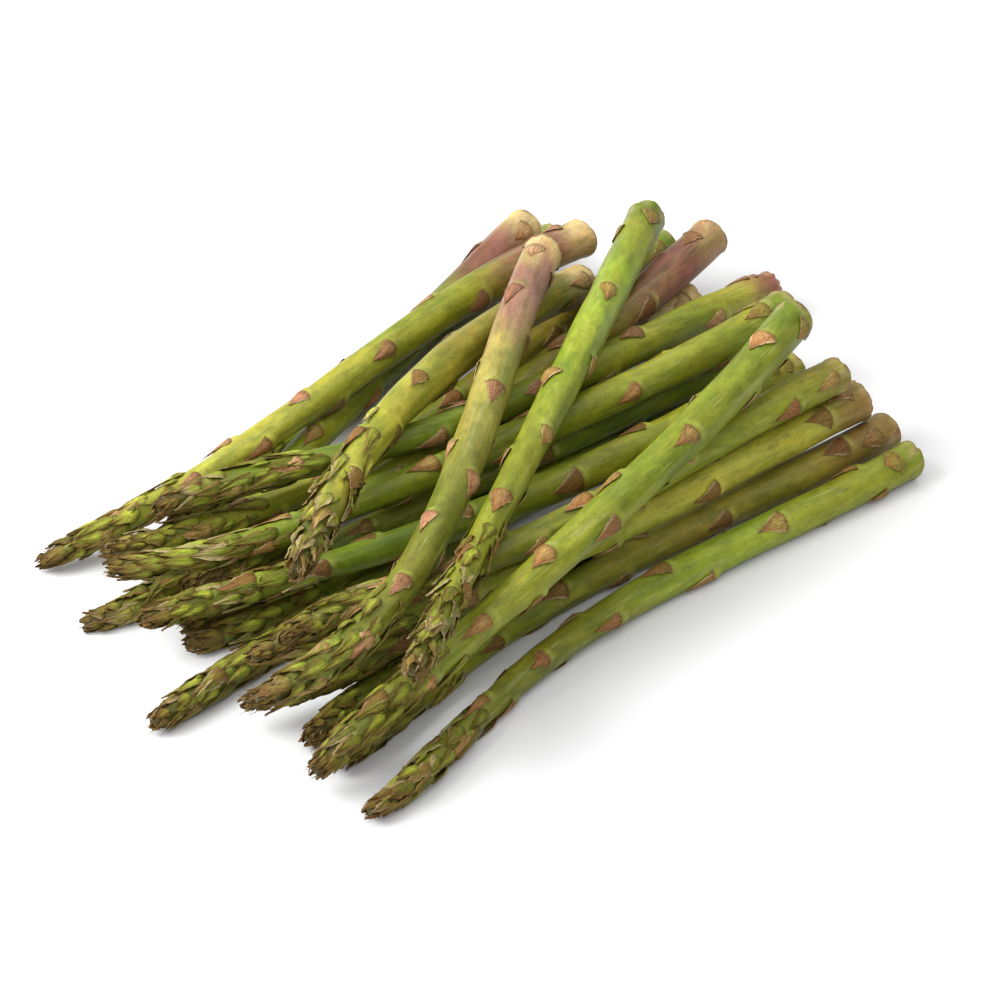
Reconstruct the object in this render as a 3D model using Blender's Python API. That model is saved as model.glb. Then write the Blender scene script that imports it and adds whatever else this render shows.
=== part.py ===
"""A loose bundle of green asparagus, lying on a table.

Metres in the scene, millimetres in the tables. +Z is up, the table top is Z = 0, and +X runs from
the tips to the cut butts. Each spear is one closed piece with its scales raised from its surface.
The spears are laid in order, each one resting on the table and on those laid before it.
"""
from collections import namedtuple

import bpy
import numpy as np

MM = 0.001

# Butt and tip are (x, y) on the table. Bow is to the left on the way to the tip, sway is an S-bend
# and late is a bend near the head. Radii are at the butt, in the middle and below the head.
# First is the distance from the tip to the nearest scale, turn is that scale's angle in degrees,
# hand is the way in which the scales wind, and growth is how much longer each gap between scales
# is than the one nearer to the tip. The rows are in the order in which the spears are laid.
Spear = namedtuple("Spear", "name butt tip bow sway late butt_radius middle_radius neck_radius "
                            "first turn hand growth skin")
SPEARS = (
    Spear("under_rear", (111, 81), (-73, 53), 0, -2, -2, 5.0, 4.6, 3.6,
          5.0, 22.5, 1, 1.12, "green"),
    Spear("under_middle", (96, 6), (-103, 11), 4, -1.5, 3, 5.0, 4.6, 3.6,
          6.0, 67.5, -1, 1.12, "green"),
    Spear("under_front", (84, -27), (-107, -41), 1, -0.5, -1, 5.0, 4.6, 3.8,
          5.5, 112.5, 1, 1.12, "green"),
    Spear("front_brown_end", (105, -60), (-108, -53), -10, 3, 3, 5.6, 4.9, 3.7,
          7.5, 22.5, 1, 1.07, "olive"),
    Spear("front_single", (100, -74), (-115, -73), -13, 3.5, 6, 5.3, 4.8, 3.3,
          8.5, 10, -1, 1.07, "olive"),
    Spear("cross_low", (84, -5), (-131, -8), 0, 0, -1, 5.0, 4.6, 3.8,
          6.0, 157.5, -1, 1.1, "green"),
    Spear("rear_white_end", (95, 78), (-116, 39), 4, -1, 8, 5.8, 4.8, 3.7,
          5.0, 30, 1, 1.09, "pale"),
    Spear("rear_slim", (133, 54), (-89, 27), 3, 0, 0, 5.2, 4.8, 3.5,
          5.5, 75, -1, 1.09, "green"),
    Spear("short_low", (67, -38), (-113, -24), 8, -1, 2, 5.0, 4.7, 3.7,
          6.5, 160, -1, 1.12, "green"),
    Spear("middle_dark", (104, -12), (-102, 14), 3, 1, 0, 5.0, 4.6, 3.7,
          5.0, 200, 1, 1.1, "green"),
    Spear("rear_edge", (103, 61), (-108, 67), 10, -4, 0, 6.0, 5.0, 3.4,
          8.0, 320, -1, 1.07, "olive"),
    Spear("white_end_low", (115, 27), (-103, 44), 10, -1, 2, 5.2, 4.8, 3.4,
          5.0, 250, -1, 1.1, "pale"),
    Spear("purple_thick", (131, 34), (-91, 16), 9, 0.5, 0, 6.2, 5.4, 3.7,
          6.5, 20, 1, 1.09, "purple"),
    Spear("right_thick", (100, -54), (-110, -24), 9, -2, -1, 5.9, 4.9, 3.7,
          7.0, 0, 1, 1.07, "olive"),
    Spear("right_slim", (91, -52), (-106, -32), 7, -3, -6, 5.3, 4.7, 3.6,
          6.0, 100, -1, 1.07, "olive"),
    Spear("middle_olive", (133, 10), (-87, 40), 19, -4.5, -7, 5.4, 4.8, 3.6,
          6.0, 95, 1, 1.08, "olive"),
    Spear("middle_green", (111, -14), (-110, 34), 13, 0.5, 6, 5.3, 5.0, 3.3,
          8.5, 35, 1, 1.08, "green"),
    Spear("middle_right", (99, -28), (-114, 16), 11, 0, -2, 5.3, 4.9, 3.6,
          4.0, 75, -1, 1.07, "olive"),
    Spear("top_bright", (88, -37), (-118, -56), 11, 0.5, -1, 5.8, 5.4, 4.1,
          4.5, 50, 1, 1.07, "green"),
    Spear("cross_frayed", (86, 45), (-90, -19), -9, 1, 1, 5.6, 5.6, 4.3,
          4.0, 170, -1, 1.1, "pale"),
    Spear("cross_green", (116, 47), (-98, -72), 2, 0, 0, 5.7, 5.2, 3.5,
          5.5, 35, -1, 1.085, "green"),
    Spear("cross_pale", (68, 44), (-132, -51), 15, -4.5, 4, 5.6, 5.3, 4.2,
          5.5, 200, 1, 1.08, "pale"),
)
SKINS = {"green": (0.22, 0.36, 0.06), "olive": (0.33, 0.34, 0.09),
         "pale": (0.50, 0.49, 0.22), "purple": (0.36, 0.19, 0.15)}
ROUGHNESS = 0.5

# Lying on one another
GAP = 0.6               # between the skins of spears that touch
TABLE_PRESS = 0.92      # height of a centre over the table, in radii: the skin is pressed flat there
BALANCE = 0.42          # where the weight sits along a spear, from the butt
DROOPS = (0, 8, 16, 24, 32, 40)   # bends that a spear may take under its weight
STIFFNESS = 0.0006      # what a bend costs beside lying lower
STATIONS = 121          # points along a centre line

# Shape of a spear
HEAD = 40.0             # length over which the head closes to the tip
TIP = 1.2               # radius at the very tip
BUTT_EDGE = 0.8         # length of the worn edge round the cut
BUTT_WEAR = 0.9         # radius of the cut, in radii
BUTT_HOLLOW = 0.3       # how far the middle of the cut is sunk
COLUMNS = 8             # sides, so that scales three eighths of a turn apart sit on a side's edge

# Scales
STEP_TURN = 135.0       # turn from one scale to the next, in degrees
SPACING = 4.2           # between the last two scales
BARE_BUTT = 9.0         # length at the butt with no scale
SCALE_LENGTH = 9.5      # on the stem
HEAD_SCALE = 5.0        # more of it in the head
SCALE_HEIGHT = 1.2      # how far a scale's foot stands off the skin
FOOT = 0.7              # length of the step at a scale's foot
STEM_WIDTH = 54.0       # half of a scale's width on the stem, in degrees round it
HEAD_WIDTH = 26.0       # more of it in the head
CROWDED = 45.0          # length of the head in which scales are longer and wider
OPEN_STEM = 90.0        # beyond this distance from the tip, a scale ends before the next begins


def plan(spear, u):
    """Where the centre line runs, seen from above, u going from 0 at the butt to 1 at the tip."""
    butt = np.array(spear.butt, float)
    tip = np.array(spear.tip, float)
    along = (tip - butt) / np.linalg.norm(tip - butt)
    left = np.array([-along[1], along[0]])
    bow = spear.bow * 4 * u * (1 - u)
    sway = spear.sway * 10 * u * (1 - u) * (1 - 2 * u)
    late = spear.late * 17.6 * u ** 6 * (1 - u)
    return butt + np.outer(u, tip - butt) + np.outer(bow + sway + late, left)


def radius(spear, from_tip, length):
    """Radius of the skin without scales: a slow taper, then a head that closes like an egg."""
    u = 1 - from_tip / length
    radii = (spear.butt_radius, spear.middle_radius, spear.neck_radius, spear.neck_radius)
    stem = np.interp(u, (0, 0.45, 0.8, 1), radii)
    w = np.clip(1 - from_tip / HEAD, 0, 1)
    return TIP + (stem - TIP) * (1 - w ** 2.6) ** 0.6


def rest_height(points, radii, laid):
    """Least height of each point of a spear over the table and the spears that are laid."""
    need = radii * TABLE_PRESS
    for other, other_radii in laid:
        flat = ((points[:, None, :2] - other[None, :, :2]) ** 2).sum(2)
        reach = radii[:, None] + other_radii[None] + GAP
        over = other[None, :, 2] + np.sqrt(np.maximum(reach ** 2 - flat, 0))
        need = np.maximum(need, np.where(flat < reach ** 2, over, 0).max(1))
    return need


def settle(need, u, droop):
    """A bent ruler laid on the bumps: it touches one on each side of its weight."""
    bend = droop * (u - BALANCE) ** 2
    bumps = need + bend
    low = u <= BALANCE
    u_low, h_low = u[low][:, None], bumps[low][:, None]
    u_high, h_high = u[~low][None], bumps[~low][None]
    slope = (h_high - h_low) / (u_high - u_low)
    middle = h_low + slope * (BALANCE - u_low)
    row, column = np.unravel_index(np.argmax(middle), middle.shape)
    return middle[row, column] + slope[row, column] * (u - BALANCE) - bend


def lay_bundle():
    """Centre lines and radii of all spears, each laid on the table and on those before it."""
    u = np.linspace(0, 1, STATIONS)
    laid = []
    for spear in SPEARS:
        points = np.zeros((STATIONS, 3))
        points[:, :2] = plan(spear, u)
        length = line_length(points)
        radii = radius(spear, (1 - u) * length, length)
        need = rest_height(points, radii, laid)
        heights = [settle(need, u, droop) for droop in DROOPS]
        costs = [h.mean() + STIFFNESS * droop ** 2 for h, droop in zip(heights, DROOPS)]
        points[:, 2] = heights[int(np.argmin(costs))]
        laid.append((points, radii))
    return laid


def line_length(points):
    return np.linalg.norm(np.diff(points, axis=0), axis=1).sum()


def along_line(points, stations):
    """Points, directions and upward normals at distances from the butt."""
    steps = np.linalg.norm(np.diff(points, axis=0), axis=1)
    s = np.concatenate(([0], np.cumsum(steps)))
    at = np.stack([np.interp(stations, s, points[:, k]) for k in range(3)], 1)
    slopes = np.gradient(points, s, axis=0)
    ahead = np.stack([np.interp(stations, s, slopes[:, k]) for k in range(3)], 1)
    ahead /= np.linalg.norm(ahead, axis=1)[:, None]
    up = np.array([0, 0, 1.0]) - ahead * ahead[:, 2:]
    up /= np.linalg.norm(up, axis=1)[:, None]
    return at, ahead, up


def scale_feet(spear, length):
    """Distances from the butt to the foot of each scale and their turns, from the tip down."""
    feet, turns = [], []
    back, gap, turn = spear.first, SPACING, spear.turn
    while length - back > BARE_BUTT:
        feet.append(length - back)
        turns.append(turn)
        back += gap
        gap *= spear.growth
        turn += STEP_TURN * spear.hand
    return np.array(feet), np.array(turns)


def relief(s, turn, feet, turns, length):
    """How far scales raise the skin: a step at the foot, then a fall to a point ahead."""
    crowded = np.exp(-((length - feet) / CROWDED) ** 2)
    long = SCALE_LENGTH + HEAD_SCALE * crowded
    wide = STEM_WIDTH + HEAD_WIDTH * crowded
    high = SCALE_HEIGHT * np.clip((length - feet + 10) / 25, 0.5, 1)
    t = (s[:, None] - feet) / long
    across = (turn[:, None] - turns + 180) % 360 - 180
    narrow = np.clip(1 - t, 0.02, 1) ** 0.7
    side = np.clip(1 - (across / (wide * narrow)) ** 2, 0, 1)
    fall = np.clip(1 - t, 0, 1) * np.clip(1 + t * long / FOOT, 0, 1)
    return (high * side * fall).max(1)


def ring_stations(feet, length):
    """Distances from the butt of the rings of points: foot, step and point of the scales."""
    rings = [BUTT_EDGE, length - 3.0, length - 0.8]
    for foot in feet:
        rings += [foot - FOOT, foot]
        if length - foot > OPEN_STEM:
            rings.append(foot + SCALE_LENGTH)
    kept = [0.0]
    for ring in sorted(rings):
        if ring - kept[-1] > 0.6:
            kept.append(ring)
    return np.array(kept)


def skin_points(laid, number):
    """Rings of points of one spear, with its scales pressed flat where it touches others."""
    spear = SPEARS[number]
    points = laid[number][0]
    length = line_length(points)
    feet, turns = scale_feet(spear, length)
    rings = ring_stations(feet, length)
    s = np.repeat(rings, COLUMNS)
    turn = np.tile(spear.turn + np.arange(COLUMNS) * 360 / COLUMNS, len(rings))
    at, ahead, up = along_line(points, s)
    side = np.cross(ahead, up)
    angle = np.radians(turn)[:, None]
    outward = up * np.cos(angle) + side * np.sin(angle)
    bare = radius(spear, length - s, length) * np.where(s > 0, 1, BUTT_WEAR)
    skin = at + outward * bare[:, None]
    others = [line for k, line in enumerate(laid) if k != number]
    room = np.min([(np.linalg.norm(skin[:, None] - p, axis=2) - r).min(1) for p, r in others], 0)
    raised = np.minimum(relief(s, turn, feet, turns, length), (room - GAP / 2) / 2)
    skin += outward * np.clip(raised, 0, None)[:, None]
    skin[:, 2] = np.maximum(skin[:, 2], 0)
    middle_of_cut = at[0] + ahead[0] * BUTT_HOLLOW
    return np.vstack((skin, middle_of_cut, points[-1]))


def add_spear(spear, vertices):
    """One closed mesh: a tube of rings with a fan on the butt and one on the tip."""
    rings = len(vertices) // COLUMNS
    row, column = np.meshgrid(np.arange(rings - 1), np.arange(COLUMNS), indexing="ij")
    a = (row * COLUMNS + column).ravel()
    b = (row * COLUMNS + (column + 1) % COLUMNS).ravel()
    faces = np.stack((a, b, b + COLUMNS, a + COLUMNS), 1).tolist()
    last = (rings - 1) * COLUMNS
    butt, tip = len(vertices) - 2, len(vertices) - 1
    for k in range(COLUMNS):
        after = (k + 1) % COLUMNS
        faces.append((after, k, butt))
        faces.append((last + k, last + after, tip))
    mesh = bpy.data.meshes.new(spear.name)
    mesh.from_pydata((vertices * MM).tolist(), [], faces)
    mesh.shade_smooth()
    mesh.materials.append(skin_material(spear))
    thing = bpy.data.objects.new(spear.name, mesh)
    bpy.context.scene.collection.objects.link(thing)


def skin_material(spear):
    material = bpy.data.materials.new(spear.name + "_" + spear.skin)
    material.use_nodes = True
    skin = material.node_tree.nodes["Principled BSDF"]
    skin.inputs["Base Color"].default_value = SKINS[spear.skin] + (1,)
    skin.inputs["Roughness"].default_value = ROUGHNESS
    return material


def main():
    for thing in list(bpy.data.objects):
        bpy.data.objects.remove(thing, do_unlink=True)
    laid = lay_bundle()
    skins = [skin_points(laid, number) for number in range(len(SPEARS))]
    low = np.min([skin.min(0) for skin in skins], 0)
    high = np.max([skin.max(0) for skin in skins], 0)
    centre = (low + high) / 2 * (1, 1, 0)
    for spear, skin in zip(SPEARS, skins):
        add_spear(spear, skin - centre)


main()
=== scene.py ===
"""The finished look of a loose bundle of green asparagus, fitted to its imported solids.

Each spear is worked out again from the same plan as its solid: the same centre line, radii and rule
for the scales. Its fine mesh holds the stem with its cut butt, thin scales, the buds between the
scales of the head and dry fibres at the tip. Lengths are in millimetres until a mesh is made.
"""

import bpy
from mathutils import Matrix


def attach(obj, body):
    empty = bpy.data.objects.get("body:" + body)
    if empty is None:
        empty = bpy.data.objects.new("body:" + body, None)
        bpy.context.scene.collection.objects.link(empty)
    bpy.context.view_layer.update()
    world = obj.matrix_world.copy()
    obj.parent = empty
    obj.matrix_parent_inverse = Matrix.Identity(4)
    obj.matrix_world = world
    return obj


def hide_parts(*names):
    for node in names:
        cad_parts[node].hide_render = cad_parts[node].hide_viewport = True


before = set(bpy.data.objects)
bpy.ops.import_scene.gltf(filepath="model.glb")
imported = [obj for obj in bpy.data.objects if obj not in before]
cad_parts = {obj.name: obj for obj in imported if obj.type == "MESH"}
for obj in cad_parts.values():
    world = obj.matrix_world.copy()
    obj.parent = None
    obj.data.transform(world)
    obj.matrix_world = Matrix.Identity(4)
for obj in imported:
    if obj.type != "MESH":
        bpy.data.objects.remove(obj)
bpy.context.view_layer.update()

import functools
import math
from collections import namedtuple

import bpy
import numpy as np

bl_info = {
    "name": "Asparagus bundle",
    "version": (1, 0, 0),
    "blender": (4, 5, 0),
    "location": "View3D > Sidebar > Asparagus",
    "description": "Finishes a bundle of asparagus spears and sets a plain stage for it",
    "category": "Object",
}

MM = 0.001

# The plan of the spears, as in the solids, in millimetres and degrees. Butt and tip are (x, y).
# Bow is to the left, sway is an S-bend and late is a bend near the head. First is the distance from
# the tip to the nearest scale, turn its angle, hand the way in which scales wind, and growth how
# much longer each gap between scales is than the one nearer to the tip. Then comes its look: the
# group that it is built in, its kind of skin and the palette's colours for the cut, the band after
# it, the stem, the stem near the head and the scales. Reach is how far from the butt the stem's own
# colour begins, and ragged is how ragged the scales are.
Spear = namedtuple("Spear", "name butt tip bow sway late butt_radius middle_radius neck_radius "
                            "first turn hand growth group skin colours reach ragged")
SPEARS = [Spear(*row) for row in (
    ("under_rear", (111, 81), (-73, 53), 0, -2, -2, 5.0, 4.6, 3.6, 5.0, 22.5, 1, 1.12,
     "low", "green", "green green green green tan", 20, 0.5),
    ("under_middle", (96, 6), (-103, 11), 4, -1.5, 3, 5.0, 4.6, 3.6, 6.0, 67.5, -1, 1.12,
     "low", "green", "olive green green green umber", 20, 0.5),
    ("under_front", (84, -27), (-107, -41), 1, -0.5, -1, 5.0, 4.6, 3.8, 5.5, 112.5, 1, 1.12,
     "low", "green", "olive olive green green umber", 20, 0.7),
    ("front_brown_end", (105, -60), (-108, -53), -10, 3, 3, 5.6, 4.9, 3.7, 7.5, 22.5, 1, 1.07,
     "front", "olive", "brown brown olive leaf umber", 35, 0.6),
    ("front_single", (100, -74), (-115, -73), -13, 3.5, 6, 5.3, 4.8, 3.3, 8.5, 10, -1, 1.07,
     "front", "olive", "leaf leaf fresh moss tan", 60, 0.6),
    ("cross_low", (84, -5), (-131, -8), 0, 0, -1, 5.0, 4.6, 3.8, 6.0, 157.5, -1, 1.1,
     "low", "green", "olive green green moss umber", 20, 0.7),
    ("rear_white_end", (95, 78), (-116, 39), 4, -1, 8, 5.8, 4.8, 3.7, 5.0, 30, 1, 1.09,
     "rear", "pale", "cream purple green leaf tan", 60, 0.9),
    ("rear_slim", (133, 54), (-89, 27), 3, 0, 0, 5.2, 4.8, 3.5, 5.5, 75, -1, 1.09,
     "rear", "green", "green green olive moss umber", 20, 0.5),
    ("short_low", (67, -38), (-113, -24), 8, -1, 2, 5.0, 4.7, 3.7, 6.5, 160, -1, 1.12,
     "low", "green", "green green green moss umber", 20, 0.8),
    ("middle_dark", (104, -12), (-102, 14), 3, 1, 0, 5.0, 4.6, 3.7, 5.0, 200, 1, 1.1,
     "low", "green", "olive olive green moss umber", 20, 0.7),
    ("rear_edge", (103, 61), (-108, 67), 10, -4, 0, 6.0, 5.0, 3.4, 8.0, 320, -1, 1.07,
     "rear", "olive", "cream purple leaf yellow pink", 60, 0.45),
    ("white_end_low", (115, 27), (-103, 44), 10, -1, 2, 5.2, 4.8, 3.4, 5.0, 250, -1, 1.1,
     "rear", "pale", "cream cream green leaf tan", 40, 0.7),
    ("purple_thick", (131, 34), (-91, 16), 9, 0.5, 0, 6.2, 5.4, 3.7, 6.5, 20, 1, 1.09,
     "rear", "purple", "blush purple olive leaf umber", 75, 0.6),
    ("right_thick", (100, -54), (-110, -24), 9, -2, -1, 5.9, 4.9, 3.7, 7.0, 0, 1, 1.07,
     "front", "olive", "brown brown yellow leaf umber", 30, 0.5),
    ("right_slim", (91, -52), (-106, -32), 7, -3, -6, 5.3, 4.7, 3.6, 6.0, 100, -1, 1.07,
     "front", "olive", "olive leaf leaf moss tan", 50, 0.6),
    ("middle_olive", (133, 10), (-87, 40), 19, -4.5, -7, 5.4, 4.8, 3.6, 6.0, 95, 1, 1.08,
     "middle", "olive", "purple yellow leaf green pink", 40, 0.6),
    ("middle_green", (111, -14), (-110, 34), 13, 0.5, 6, 5.3, 5.0, 3.3, 8.5, 35, 1, 1.08,
     "middle", "green", "green leaf leaf green tan", 20, 0.6),
    ("middle_right", (99, -28), (-114, 16), 11, 0, -2, 5.3, 4.9, 3.6, 4.0, 75, -1, 1.07,
     "middle", "olive", "leaf leaf leaf green umber", 40, 0.6),
    ("top_bright", (88, -37), (-118, -56), 11, 0.5, -1, 5.8, 5.4, 4.1, 4.5, 50, 1, 1.07,
     "crossing", "green", "bright bright bright leaf tan", 20, 0.7),
    ("cross_frayed", (86, 45), (-90, -19), -9, 1, 1, 5.6, 5.6, 4.3, 4.0, 170, -1, 1.1,
     "crossing", "pale", "cream olive olive yellow tan", 60, 1.5),
    ("cross_green", (116, 47), (-98, -72), 2, 0, 0, 5.7, 5.2, 3.5, 5.5, 35, -1, 1.085,
     "crossing", "green", "green leaf fresh leaf tan", 40, 1.4),
    ("cross_pale", (68, 44), (-132, -51), 15, -4.5, 4, 5.6, 5.3, 4.2, 5.5, 200, 1, 1.08,
     "crossing", "pale", "cream rose ochre moss pink", 75, 0.8),
)]

# Lying on one another, as in the solids
GAP = 0.6
TABLE_PRESS = 0.92
BALANCE = 0.42
DROOPS = (0, 8, 16, 24, 32, 40)
STIFFNESS = 0.0006
STATIONS = 121
BOW_SCALE, SWAY_SCALE, LATE_SCALE = 4, 10, 17.6   # each makes the bend's largest shift about 1
LATE_POWER = 6

# Shape of a spear and of its scales, as in the solids
HEAD = 40.0
TIP = 1.2
STEP_TURN = 135.0
SPACING = 4.2
BARE_BUTT = 9.0
CROWDED = 45.0
TAPER_AT = (0, 0.45, 0.8, 1)
EGG_BLUNT, EGG_ROUND = 2.6, 0.6

# Fineness of the meshes
STEM_COLUMNS = 40
STEM_STEP = 0.85
CUT_RINGS = (0.14, 0.3, 0.46, 0.62, 0.76, 0.88, 0.95)
LEAF_ROWS = 10
LEAF_COLUMNS = 8
BUD_ROWS = 6
BUD_COLUMNS = 7
FIBRE_ROWS = 5
FIBRE_COLUMNS = 3
SHARP_ANGLE = 55.0

# Relief of the fine meshes
GOLDEN_ANGLE = 137.5
ROOM_ROWS, ROOM_COLUMNS = 90, 24
TABLE_ROOM = 0.45        # added to a point's height over the table
LEAST_RELIEF = 0.02
PAST_TIP = 2.5           # over which the radius shrinks past the tip
ABOVE_FLOOR = 0.03
PATTERN_STEP = 37.0      # between the patterns of two spears

# Skin of each kind, and what all kinds share
ROUGHNESS = {"green": 0.36, "olive": 0.38, "pale": 0.36, "purple": 0.40}
WAX_IOR = 1.42
WAX_SPECULAR = 0.30
BUMP_HEIGHT = 0.00022

# Stage
PLAN_LOOK = (5.9, 0.5)   # point of the plan in the middle of the picture
KEY_PLACE = (-0.75, 0.52, 0.80)
OVERHEAD = (-0.24, 0.10, 0.966)
FLOOR_WHITE = (0.60, 0.60, 0.605, 1)
SENSOR_WIDTH = 36


def colour(label, about, value):
    return bpy.props.FloatVectorProperty(name=label, description=about, default=value,
                                         subtype="COLOR", size=3, min=0, max=1)


def amount(label, about, value, **settings):
    return bpy.props.FloatProperty(name=label, description=about, default=value, **settings)


def length(label, about, metres):
    return amount(label, about, metres, unit="LENGTH", precision=4)


def degrees(label, about, value):
    return amount(label, about, math.radians(value), subtype="ANGLE", unit="ROTATION")


def whole_number(label, about, value):
    return bpy.props.IntProperty(name=label, description=about, default=value, min=1)


class AsparagusPalette(bpy.types.PropertyGroup):
    """Colours of the spears, named in their table."""
    bright: colour("Bright green", "Skin of the brightest spears", (0.142, 0.174, 0.010))
    fresh: colour("Fresh green", "Skin of the lightest green stem", (0.20, 0.26, 0.020))
    green: colour("Green", "Skin of the deep green spears", (0.125, 0.165, 0.012))
    leaf: colour("Leaf green", "Skin between green and olive", (0.172, 0.188, 0.013))
    moss: colour("Moss", "Dark stems near the head", (0.118, 0.130, 0.012))
    olive: colour("Olive", "Skin of the dull spears", (0.18, 0.155, 0.018))
    yellow: colour("Yellow green", "Skin of the pale spears", (0.26, 0.26, 0.028))
    ochre: colour("Ochre", "Skin between cream and olive", (0.255, 0.228, 0.045))
    cream: colour("Cream", "Blanched butts that grew under the soil", (0.46, 0.34, 0.15))
    blush: colour("Blush", "Butts between cream and purple", (0.27, 0.17, 0.07))
    purple: colour("Purple", "Band above a blanched butt", (0.18, 0.07, 0.05))
    rose: colour("Rose", "Band above the palest butt", (0.25, 0.118, 0.095))
    brown: colour("Brown olive", "Skin near the dull butts", (0.165, 0.112, 0.028))
    tan: colour("Tan scale", "Dry scales on green stems", (0.31, 0.132, 0.045))
    pink: colour("Pink scale", "Fresh scales with a blush", (0.42, 0.185, 0.105))
    umber: colour("Brown scale", "Old scales", (0.155, 0.064, 0.015))
    margin: colour("Pale margin", "Swollen rim under a scale", (0.32, 0.34, 0.07))
    paper: colour("Paper edge", "Thin dry edge of a scale", (0.48, 0.36, 0.20))
    head: colour("Head green", "Scales of the head", (0.135, 0.150, 0.012))
    tip: colour("Tip brown", "Withered end of the head", (0.095, 0.046, 0.010))
    # Painted shade: near-black colour laid on the skin under the scales of the head, where shade
    # falls
    painted_crevice_shade: colour("Crevice", "Skin between the scales of the head", (0.030, 0.030, 0.006))
    bruise: colour("Bruise", "Dark patches on the skin", (0.055, 0.085, 0.012))
    # Pale waxy colour: the skin's own on the scratches, and partly painted sheen on the waxy
    # patches
    bloom_and_sheen: colour("Bloom", "Waxy scratches and streaks", (0.46, 0.47, 0.22))
    flesh: colour("Cut flesh", "Inside of the stem on the cut", (0.42, 0.42, 0.17))


class AsparagusShape(bpy.types.PropertyGroup):
    """Sizes of the fine relief."""
    leaf_length: length("Scale length", "Length of a scale on the stem", 0.0095)
    head_extra: length("Head extra", "More length of a scale in the head", 0.0035)
    leaf_height: length("Scale height", "How far a scale's foot stands off the skin", 0.0011)
    leaf_thickness: length("Scale thickness", "Thickness of a scale", 0.0003)
    lump_height: length("Lumps", "Height of the stem's slow unevenness", 0.00018)
    rib_height: length("Ribs", "Height of the stem's lengthwise ribs", 0.00012)
    leaf_width: degrees("Scale width", "Half the width of a scale, round the stem", 39)
    head_leaves: whole_number("Head scales", "Close scales in the head of a spear", 44)
    buds: whole_number("Buds", "Buds between the scales of the head", 20)
    fibres: whole_number("Fibres", "Dry fibres on the head of a spear", 16)


class AsparagusStage(bpy.types.PropertyGroup):
    """Floor, lights and camera."""
    floor_size: length("Floor size", "Side of the floor", 6.0)
    azimuth: degrees("Azimuth", "Way in which the camera looks", -45)
    elevation: degrees("Elevation", "Height of the camera above the horizon", 37)
    distance: length("Distance", "From the camera to the point it looks at", 1.0714)
    lens: amount("Lens", "Focal length on a 36 mm sensor", 135, unit="CAMERA")
    key_power: amount("Key light", "Power of the soft light on the left", 18, unit="POWER")
    key_size: length("Key size", "Side of the soft light on the left", 0.7)
    sky: amount("Surround", "Strength of the white surround", 1.28, min=0)


def held(x):
    """x held between 0 and 1."""
    return np.clip(x, 0, 1)


def step_up(x):
    """Smooth rise from 0 to 1."""
    x = held(x)
    return x * x * (3 - 2 * x)


def plan(spear, u):
    """Centre line seen from above: a straight line plus a bow, an S-bend and a late bend."""
    butt = np.array(spear.butt, float)
    tip = np.array(spear.tip, float)
    along = (tip - butt) / np.linalg.norm(tip - butt)
    left = np.array([-along[1], along[0]])
    bow = spear.bow * BOW_SCALE * u * (1 - u)
    sway = spear.sway * SWAY_SCALE * u * (1 - u) * (1 - 2 * u)
    late = spear.late * LATE_SCALE * u ** LATE_POWER * (1 - u)
    return butt + np.outer(u, tip - butt) + np.outer(bow + sway + late, left)


def radius(spear, from_tip, whole):
    """Radius without scales: a slow taper, then a head that closes like an egg."""
    u = 1 - from_tip / whole
    radii = (spear.butt_radius, spear.middle_radius, spear.neck_radius, spear.neck_radius)
    stem = np.interp(u, TAPER_AT, radii)
    w = held(1 - from_tip / HEAD)
    return TIP + (stem - TIP) * (1 - w ** EGG_BLUNT) ** EGG_ROUND


def rest_height(points, radii, laid):
    """Least height of each point over the table and over the spears that are laid."""
    need = radii * TABLE_PRESS
    for other, other_radii in laid:
        flat = ((points[:, None, :2] - other[None, :, :2]) ** 2).sum(2)
        reach = radii[:, None] + other_radii[None] + GAP
        over = other[None, :, 2] + np.sqrt(np.maximum(reach ** 2 - flat, 0))
        need = np.maximum(need, np.where(flat < reach ** 2, over, 0).max(1))
    return need


def settle(need, u, droop):
    """A bent ruler laid on the bumps: it touches one on each side of its weight."""
    bend = droop * (u - BALANCE) ** 2
    bumps = need + bend
    low = u <= BALANCE
    u_low, h_low = u[low][:, None], bumps[low][:, None]
    u_high, h_high = u[~low][None], bumps[~low][None]
    slope = (h_high - h_low) / (u_high - u_low)
    middle = h_low + slope * (BALANCE - u_low)
    row, column = np.unravel_index(np.argmax(middle), middle.shape)
    return middle[row, column] + slope[row, column] * (u - BALANCE) - bend


def line_length(points):
    """Length of a line through points."""
    return np.linalg.norm(np.diff(points, axis=0), axis=1).sum()


def lay_bundle():
    """Centre lines and radii of all spears, each laid on the table and on those before it."""
    u = np.linspace(0, 1, STATIONS)
    laid = []
    for spear in SPEARS:
        points = np.zeros((STATIONS, 3))
        points[:, :2] = plan(spear, u)
        whole = line_length(points)
        radii = radius(spear, (1 - u) * whole, whole)
        need = rest_height(points, radii, laid)
        heights = [settle(need, u, droop) for droop in DROOPS]
        costs = [h.mean() + STIFFNESS * droop ** 2 for h, droop in zip(heights, DROOPS)]
        points[:, 2] = heights[int(np.argmin(costs))]
        laid.append((points, radii))
    return laid


def frame_shift(laid):
    """How far the frame lies from the plan: the tip of the front spear is its solid's far point."""
    number = [spear.name for spear in SPEARS].index("front_single")
    solid = np.array([v.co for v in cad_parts["front_single"].data.vertices]) / MM
    shift = laid[number][0][-1] - solid[np.argmin(solid[:, 0])]
    shift[2] = 0
    return shift


def scale_feet(spear, whole):
    """Distance from the butt to each scale's foot, and its turn, from the tip down."""
    feet, turns = [], []
    back, gap, turn = spear.first, SPACING, spear.turn
    while whole - back > BARE_BUTT:
        feet.append(whole - back)
        turns.append(turn)
        back += gap
        gap *= spear.growth
        turn += STEP_TURN * spear.hand
    return np.array(feet), np.array(turns)


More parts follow.
